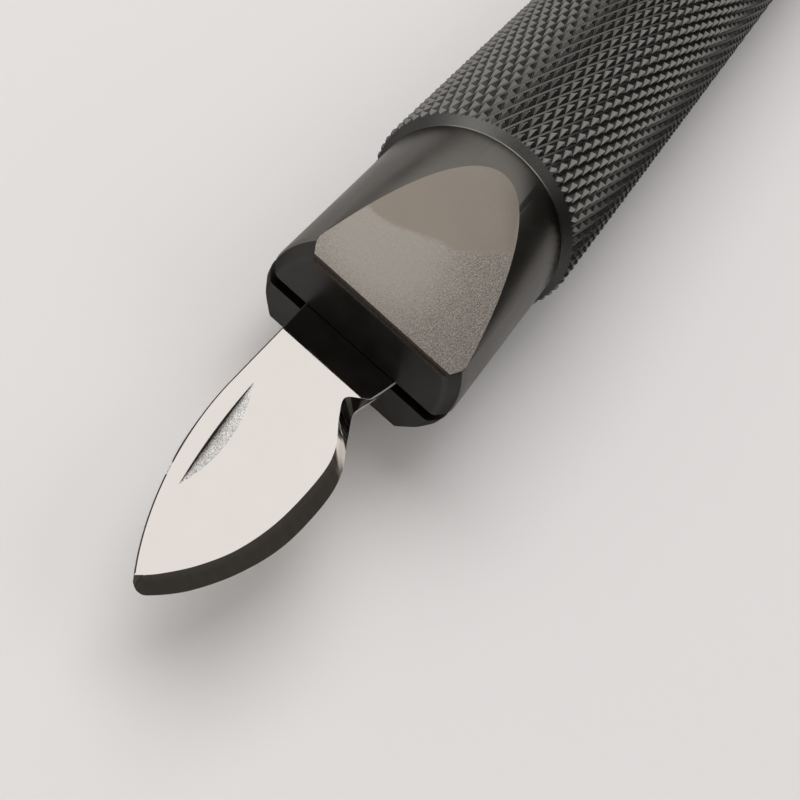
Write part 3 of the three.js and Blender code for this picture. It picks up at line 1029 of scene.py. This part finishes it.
def add_nose():
    shoulder = SLEEVE_MOUTH - 0.03
    profile = [
        (NOSE_FRONT, 0),
        (NOSE_FRONT, NOSE_FACE_RADIUS),
        (NOSE_FRONT + NOSE_CHAMFER_LENGTH, NOSE_RADIUS),
        (shoulder - 0.06, NOSE_RADIUS),
        (shoulder, NOSE_RADIUS - 0.06),
        (shoulder, SPIGOT_RADIUS),
        (SPIGOT_END - 0.4, SPIGOT_RADIUS),
        (SPIGOT_END, SPIGOT_RADIUS - 0.4),
        (SPIGOT_END, BOLT_RADIUS + FIT_CLEARANCE),
        (BOLT_TIP - 1, BOLT_RADIUS + FIT_CLEARANCE),
        (BOLT_TIP - 1, 0),
    ]
    body = revolve(softened(profile, {1: 0.35, 2: 0.5}), ROUND_SIDES)
    mesh = combine(body, "DIFFERENCE", *nose_cutters())
    mesh = rounded(mesh, 0.05)
    add_skin("nose_holder", mesh, "handle",
             [NOSE, FLAT, FRONT, PAINTED_SHADE_ROUNDS], choose_nose_finish, smooth=20)


# ---------- blades ----------

def bezier(points, steps):
    a, b, c, d = (Vector(p) for p in points)
    curve = []
    for k in range(steps + 1):
        t = k / steps
        curve.append(a * (1 - t) ** 3 + b * 3 * t * (1 - t) ** 2 + c * 3 * t * t * (1 - t) + d * t ** 3)
    return curve


def spline(points, steps):
    """The Catmull-Rom curve through the points, as the CAD part draws it."""
    points = [Vector(p) for p in points]
    last = len(points) - 1
    curve = []
    for k in range(steps + 1):
        along = last * k / steps
        i = min(int(along), last - 1)
        t = along - i
        before = points[max(i - 1, 0)]
        after = points[min(i + 2, last)]
        v0 = (points[i + 1] - before) / 2
        v1 = (after - points[i]) / 2
        gap = points[i] - points[i + 1]
        curve.append((2 * gap + v0 + v1) * t ** 3 - (3 * gap + 2 * v0 + v1) * t ** 2 + v0 * t + points[i])
    return curve


def outward(curve, k):
    """The sideways direction out of the blade at one point of a curve, clockwise from above."""
    step = curve[min(k + 1, len(curve) - 1)] - curve[max(k - 1, 0)]
    return Vector((-step.y, step.x)).normalized()


def ramp(value, start, end):
    share = min(1.0, max(0.0, (value - start) / (end - start)))
    return share * share * (3 - 2 * share)


def belly_sections(steps, belly_scale):
    """Heel, notch and bevel, from the tang to the tip: four points up the side at each step."""
    half = BLADE_THICKNESS / 2
    heel = [Vector((TANG_END, TANG_BELLY)), Vector((NOSE_FRONT + 0.6, TANG_BELLY))]
    low = heel + spline(CUTTING_EDGE + (LOW_TIP,), steps)
    high = heel + spline(BEVEL_TOP + (BLADE_TIP,), steps)
    for point in low + high:
        if point.y < 0 and belly_scale < 1:
            scale = belly_scale if point.x < NOSE_FRONT - 0.5 else 1
            point.y = max(point.y, SPARE_BELLY) * scale
    sections = []
    for k, (foot, top) in enumerate(zip(low, high)):
        at_notch = ramp(foot.x, *NOTCH_FROM_TIP) * ramp(foot.x, *NOTCH_FROM_TANG)
        at_heel = ramp(foot.x, *HEEL_FADE)
        land = LEAST_LAND + NOTCH_LAND * at_notch
        shoulder = LEAST_SHOULDER + HEEL_CHAMFER * at_heel
        side = outward(low, k)
        slope = top.lerp(foot, shoulder / (2 * half - land))
        rim = top - side * HEEL_CHAMFER * at_heel
        foot_out = foot + side * 0.5 * NOTCH_LAND * at_notch
        sections.append([
            (foot_out.x, foot_out.y, -half), (foot.x, foot.y, land - half),
            (slope.x, slope.y, half - shoulder), (rim.x, rim.y, half),
        ])
    return sections


def spine_sections():
    """The spine from the tip back to the tang; near the tip its wall leans in towards the underside."""
    half = BLADE_THICKNESS / 2
    start = SPINE_CURVE[0][0]
    curve = bezier(SPINE_CURVE, SPINE_STEPS)[::-1][1:]
    for k in range(1, 11):
        curve.append(Vector((start + 0.1 * k * (TANG_END - start), TANG_SPINE)))
    sections = []
    for k, point in enumerate(curve):
        side = outward(curve, k)
        foot = point - side * SPINE_LEAN * ramp(point.x, *SPINE_LEAN_FADE)
        rim = point - side * SPINE_CHAMFER
        sections.append([
            (foot.x, foot.y, -half), (foot.x, foot.y, 0.05 - half),
            (point.x, point.y, half - SPINE_CHAMFER), (rim.x, rim.y, half),
        ])
    return sections


def fork_sections():
    """The open-ended notch in the tang that drops over the stop pin."""
    half = BLADE_THICKNESS / 2
    fork_half = STOP_PIN["radius"] + 0.1
    fork = [(TANG_END, TANG_MIDDLE + fork_half)]
    steps = 24
    for k in range(steps + 1):
        angle = math.pi / 2 + math.pi * k / steps
        along = STOP_PIN["x"] + fork_half * math.cos(angle)
        fork.append((along, TANG_MIDDLE + fork_half * math.sin(angle)))
    fork.append((TANG_END, TANG_MIDDLE - fork_half))
    return [[(x, y, z) for z in (-half, 0.05 - half, half - 0.05, half)] for x, y in fork]


def blade_mesh(belly_scale=1.0):
    """The blade, as four rings of points one above another."""
    sections = belly_sections(BELLY_STEPS, belly_scale) + spine_sections() + fork_sections()
    mesh = bmesh.new()
    columns = [[mesh.verts.new(point) for point in section] for section in sections]
    for first, second in zip(columns, columns[1:] + columns[:1]):
        for k in range(3):
            mesh.faces.new([first[k], second[k], second[k + 1], first[k + 1]])
    mesh.faces.new([column[3] for column in columns])
    mesh.faces.new([column[0] for column in reversed(columns)])
    return faced_outward(mesh)


def nick_cutter():
    """The disc that grinds the nail nick: steep towards the spine, gently sloped towards the belly."""
    half_chord = (NICK_START - NICK_END).length / 2
    disc = (half_chord ** 2 + NICK_DEPTH ** 2) / (2 * NICK_DEPTH)
    middle = (NICK_START + NICK_END) / 2
    chord = NICK_START - NICK_END
    rim = disc - NICK_DEPTH
    outline = [(0, 0), (0, rim), (-NICK_WALL, disc), (-NICK_WIDTH, rim), (-NICK_WIDTH, 0)]
    mesh = revolve(outline, NICK_SIDES, "X")
    turn = Matrix.Rotation(math.pi / 2 + math.atan2(chord.y, chord.x), 4, "Z")
    bmesh.ops.transform(mesh, matrix=turn, verts=mesh.verts)
    return moved(mesh, (middle.x, middle.y, BLADE_THICKNESS / 2 - NICK_DEPTH + disc))


def choose_blade_finish(shift):
    """Faces are polished, the bevel is ground and the nick is frosted; the side walls and edges are painted
    near-black as shade, and the notch's rims painted light as a highlight.
    """
    polished, ground, painted_shade_edges, frosted, painted_highlight = range(5)

    def choose(center, normal):
        x = center.x - shift.x
        y = center.y
        z = center.z - shift.z
        if abs(normal.z) > 0.995:
            return polished
        if NICK_END.x < x < NICK_START.x and NICK_BELLY_SIDE < y < NICK_START.y + 0.05:
            return frosted if normal.z > 0.6 else painted_shade_edges
        if x > NOSE_FRONT + 0.3:
            return polished
        if y < NOTCH_WALL["y"] and x > NOTCH_WALL["x"] and abs(z) < NOTCH_WALL["half_height"]:
            return painted_shade_edges
        low_rim = z < NOTCH_LAND - BLADE_THICKNESS / 2
        heel_rim = x > HEEL_FADE[0] and z > 0.3
        if y < NOTCH_RIMS["y"] and x > NOTCH_RIMS["x"] and (low_rim or heel_rim):
            return painted_highlight
        if x < TIP_FACE and normal.x < -0.75:
            return painted_shade_edges
        return ground if y < SPINE_SIDE else painted_shade_edges
    return choose


def add_blade(node, body, shift, belly_scale=1.0):
    mesh = combine(blade_mesh(belly_scale), "DIFFERENCE", nick_cutter())
    add_skin(node, moved(mesh, shift), body,
             [BLADE, BEVEL, PAINTED_SHADE_EDGE, FROSTED, PAINTED_HIGHLIGHT_EDGE], choose_blade_finish(shift), smooth=22)


# ---------- tang clamp ----------


def add_clamp(place_name, x):
    centre = (x, TANG_MIDDLE, 0)
    pad_low = CLAMP_PAD_TOP - CLAMP_PAD_LENGTH
    pad = chamfered_rod(CLAMP_SCREW_RADIUS, pad_low, CLAMP_PAD_TOP, PAD_LOW_END, PAD_HIGH_END)
    add_skin(f"clamp_pad_{place_name}", moved(pad, centre), f"pad_{place_name}", [BRASS])
    top = pad_low - 0.05
    bottom = top - CLAMP_SCREW_LENGTH
    root = CLAMP_SCREW_RADIUS - 0.22
    screw = chamfered_rod(root, bottom, top, SCREW_END, SCREW_END)
    screw = combine(screw, "DIFFERENCE", rod(0.87, bottom - 1, bottom + 1.3, HEX))
    add_skin(f"clamp_screw_{place_name}", moved(screw, centre), f"screw_{place_name}",
             [BLACK_STEEL])
    thread = helix_ridge(root - 0.02, CLAMP_SCREW_RADIUS, 0.5, bottom + 0.02, top - 0.02, "Z", 48)
    add_piece(f"clamp_screw_{place_name}_thread", moved(thread, centre), f"screw_{place_name}",
              None, [BLACK_STEEL])


def add_stop_pin():
    high = STOP_PIN["high"] - FIT_CLEARANCE
    mesh = chamfered_rod(STOP_PIN["radius"], STOP_PIN["low"], high, PIN_END, PIN_END)
    mesh = moved(mesh, (STOP_PIN["x"], TANG_MIDDLE, 0))
    add_skin("tang_stop_pin", mesh, "handle", [PIN_STEEL])


# ---------- inside the handle ----------


def add_nose_bolt():
    head_front = WEB_REAR + WASHER_THICKNESS + 0.1
    head_rear = head_front + BOLT_HEAD_LENGTH
    root = BOLT_RADIUS - 0.3
    body = revolve([
        (BOLT_TIP, 0), (BOLT_TIP, root - 0.2), (BOLT_TIP + 0.3, root), (WEB_FRONT + 0.5, root),
        (WEB_FRONT + 0.8, BOLT_RADIUS), (head_front, BOLT_RADIUS), (head_front, BOLT_HEAD_RADIUS - 0.1),
        (head_front + 0.1, BOLT_HEAD_RADIUS), (head_rear - 0.3, BOLT_HEAD_RADIUS),
        (head_rear, BOLT_HEAD_RADIUS - 0.3), (head_rear, 0),
    ], SMALL_SIDES)
    mesh = combine(body, "DIFFERENCE", rod(1.7, head_rear - 2.4, head_rear + 1, HEX, "X"))
    add_skin("nose_bolt", mesh, "handle", [BLACK_STEEL])
    thread = helix_ridge(root - 0.02, BOLT_RADIUS, 0.7, BOLT_TIP + 0.2, WEB_FRONT + 0.6, per_turn=48)
    add_piece("nose_bolt_thread", thread, "handle", None, [BLACK_STEEL])


def add_lock_washer():
    front = WEB_REAR + 0.05
    rear = front + WASHER_THICKNESS
    ring = revolve([
        (front, 2.15), (front, 3.5), (front + 0.1, 3.6), (rear - 0.1, 3.6), (rear, 3.5), (rear, 2.15),
    ], SMALL_SIDES)
    split = block(front - 1, rear + 1, -0.25, 0.25, 1, 5)
    mesh = combine(ring, "DIFFERENCE", split)
    add_skin("nose_lock_washer", mesh, "handle", [PIN_STEEL])


def add_key_pin():
    mesh = chamfered_rod(KEY_PIN["radius"], KEY_PIN["front"], KEY_PIN["rear"], PIN_END, PIN_END, "X")
    mesh = moved(mesh, (0, 0, KEY_PIN["z"]))
    add_skin("nose_key_pin", mesh, "handle", [PIN_STEEL])


def add_caddy():
    rear = CAP_FRONT - 0.1
    body = revolve([
        (CADDY_FRONT, 0), (CADDY_FRONT, CADDY_RADIUS - 0.5), (CADDY_FRONT + 0.5, CADDY_RADIUS),
        (rear - 0.2, CADDY_RADIUS), (rear, CADDY_RADIUS - 0.2), (rear, CADDY_STUB_RADIUS),
        (CADDY_STUB_END - 0.3, CADDY_STUB_RADIUS),
        (CADDY_STUB_END, CADDY_STUB_RADIUS - 0.3), (CADDY_STUB_END, 0),
    ], SMALL_SIDES)
    slots = []
    for z in (-SPARE_BLADE_Z, SPARE_BLADE_Z):
        slots.append(block(
            CADDY_FRONT - 2, CADDY_FRONT + CADDY_SLOT_DEPTH,
            TANG_BELLY - FIT_CLEARANCE, TANG_SPINE + FIT_CLEARANCE,
            z - SLOT_HEIGHT / 2, z + SLOT_HEIGHT / 2,
        ))
    mesh = rounded(combine(body, "DIFFERENCE", *slots), 0.08)
    add_skin("blade_caddy", mesh, "cap", [PLASTIC])


# ---------- studio ----------

def add_card(name, finish, half, matrix):
    """A flat studio card."""
    mesh = bmesh.new()
    bmesh.ops.create_grid(mesh, x_segments=1, y_segments=1, size=half)
    card = as_object(name, mesh)
    card.data.materials.append(finish.material)
    card.matrix_world = matrix
    return card


def add_floor():
    finish = Finish("floor_card", FLOOR_COLOR, 0.0, 0.7)
    cloudy = tuple(c * FLOOR_CLOUD for c in FLOOR_COLOR)
    finish.color(finish.blend(finish.noise(0.01), cloudy, FLOOR_COLOR))
    level = Matrix.Translation((0, 0, CAD_BOX[0][2] - FLOOR_GAP))
    floor = add_card("floor", finish, FLOOR_HALF, level)


def add_flag():
    """A black studio flag just behind the lens: it shows only in reflections, and glows faintly as a
    painted dim light from the camera's side.
    """
    finish = Finish("flag_cloth", (0.004, 0.004, 0.004), 0.0, 1.0)
    finish.set("Specular IOR Level", 0.0)
    finish.set("Emission Color", (0.03, 0.03, 0.03, 1.0))
    finish.set("Emission Strength", 1.0)
    size = Matrix.Diagonal((FLAG["half_width"], FLAG["half_height"], 1, 1))
    flag = add_card("flag", finish, 1.0, camera_matrix(back=FLAG["back"]) @ size)
    flag.visible_camera = False
    flag.visible_diffuse = False
    flag.visible_shadow = False


def add_sky():
    """A soft dome, bright above and towards +y and dim on the other side; the lens sees a pale backdrop."""
    world = bpy.data.worlds.new("studio")
    nodes = Nodes(world)
    rays = nodes.add("TexCoord").outputs["Generated"]
    aside = nodes.fade(nodes.vector("DOT_PRODUCT", rays, SKY_DIRECTION, "Value"), *SKY_FADE)
    above = nodes.fade(nodes.vector("DOT_PRODUCT", rays, UPWARD, "Value"), *HORIZON_FADE)
    dome = nodes.blend(nodes.math("MULTIPLY", aside, above), SKY_DARK, SKY_LIGHT)
    paths = nodes.add("LightPath").outputs
    background = nodes.add("Background")
    nodes.link(nodes.blend(paths["Is Camera Ray"], dome, BACKDROP), background.inputs["Color"])
    share = nodes.fade(paths["Is Diffuse Ray"], 0.0, 1.0, 1.0, CARD_SHARE, smooth=False)
    nodes.link(share, background.inputs["Strength"])
    nodes.link(background.outputs[0], nodes.add("OutputWorld").inputs["Surface"])
    bpy.context.scene.world = world


def add_light(name, settings):
    """A soft box that lights the card and shapes the shadow, and isn't seen in reflections."""
    data = bpy.data.lights.new(name, "AREA")
    data.shape = "SQUARE"
    data.size = settings["size"]
    data.energy = settings["power"]
    light = in_scene(name, data)
    source = Vector(settings["from"]).normalized()
    position = place(LAMP_AIM) + source * settings["distance"]
    facing = source.to_track_quat("Z", "Y").to_matrix().to_4x4()
    light.matrix_world = Matrix.Translation(position) @ facing
    light.visible_camera = False
    light.visible_glossy = False


# ---------- assembly ----------

add_camera()
add_sky()
add_floor()
add_flag()
for light_name, light_settings in LIGHTS.items():
    add_light(light_name, light_settings)
add_sleeve()
add_nose()
add_blade("blade", "blade", Vector((0, 0, 0)))
add_stop_pin()
for place_name, screw_x in CLAMP_SCREW_X.items():
    add_clamp(place_name, screw_x)
add_nose_bolt()
add_lock_washer()
add_key_pin()
add_cap()
add_cap_seal()
add_caddy()
add_blade("spare_blade_1", "cap", Vector((SPARE_BLADE_SHIFT, 0, SPARE_BLADE_Z)))
add_blade("spare_blade_2", "cap", Vector((SPARE_BLADE_SHIFT, 0, -SPARE_BLADE_Z)), NARROW_BELLY)

bpy.context.scene.view_settings.view_transform = "Standard"
